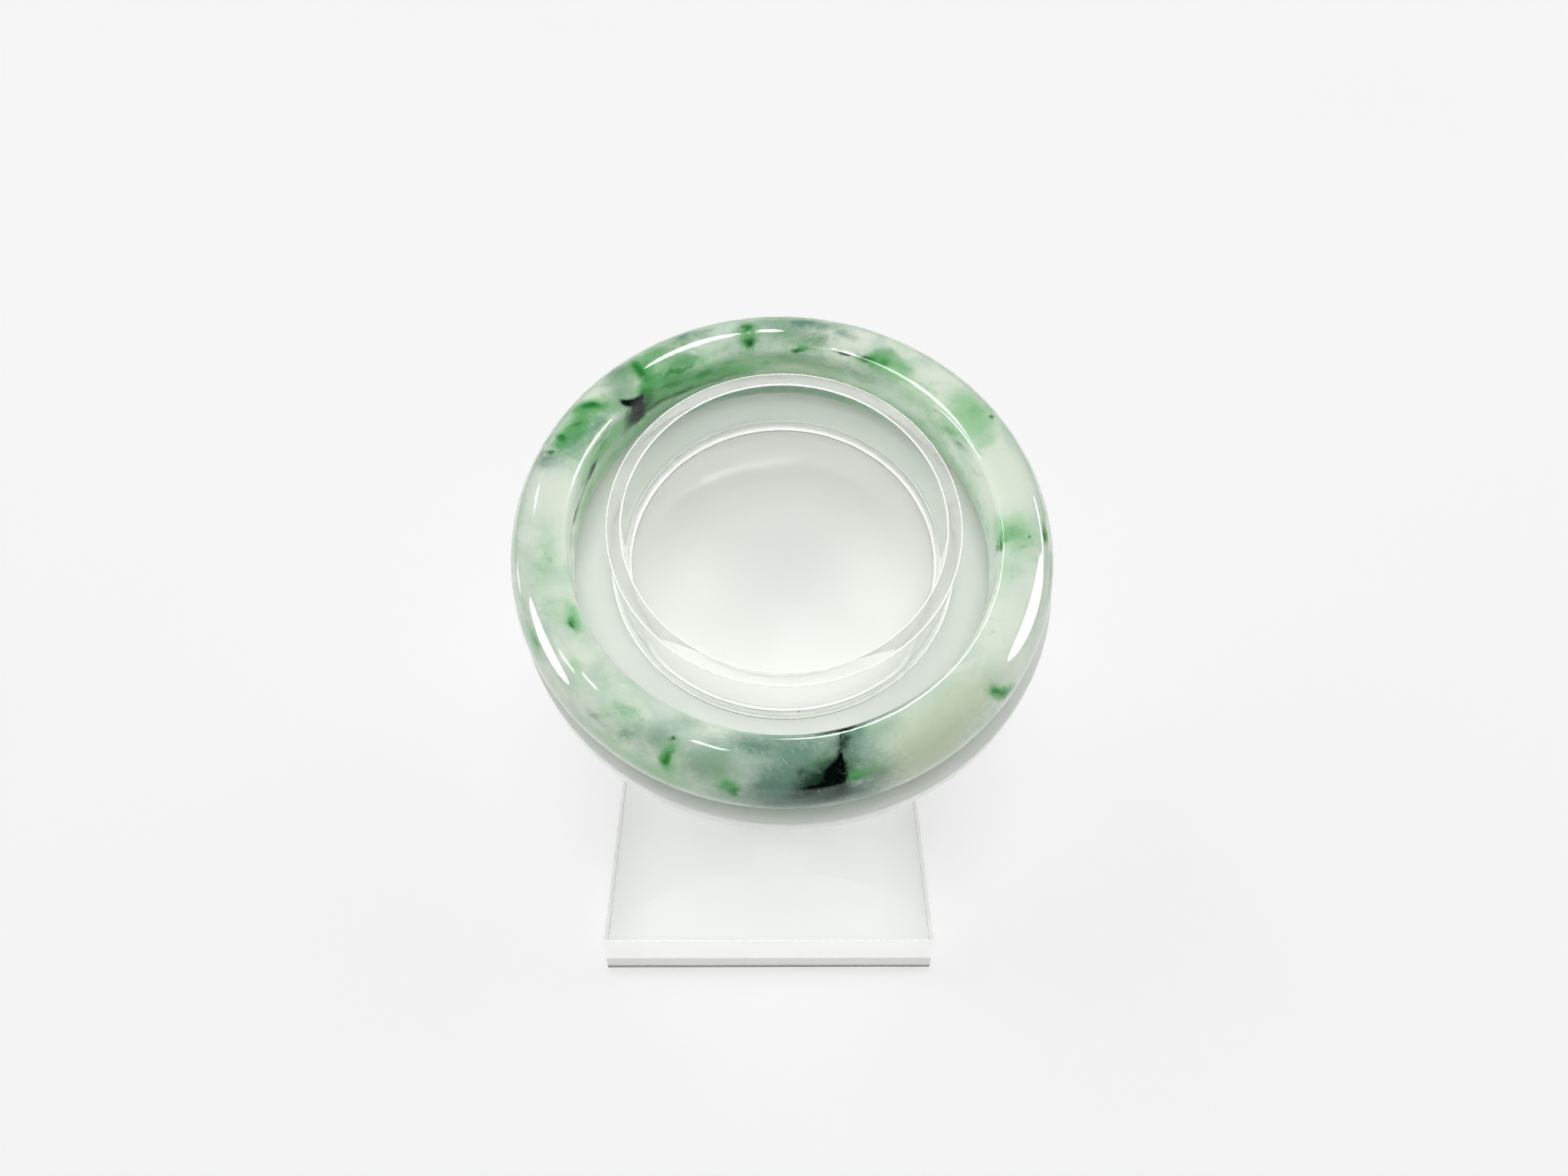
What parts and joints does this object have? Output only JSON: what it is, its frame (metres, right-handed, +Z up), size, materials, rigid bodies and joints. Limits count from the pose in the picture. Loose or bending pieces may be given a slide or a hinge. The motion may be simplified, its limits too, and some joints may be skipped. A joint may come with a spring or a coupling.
{
  "type": "jade bangle",
  "caption": "Polished jade bangle, round outside and flat inside, lying on the leaning round plate of an acrylic stand, round a short tube, with a post and a square foot.",
  "frame": {"origin": "centre of the foot's underside", "axes": "+Z up, the plate leans towards -Y, +X to the right as the bangle is looked at"},
  "size_m": [0.0755, 0.073, 0.0873],
  "materials": {
    "jade": "polished",
    "clear_acrylic": "polished, clear",
    "opal_acrylic": "polished, opal white"
  },
  "bodies": {
    "root": {"jade_bangle": "jade", "collar": "clear_acrylic", "plate": "opal_acrylic", "post": "clear_acrylic", "foot": "clear_acrylic"}
  },
  "joints": []
}
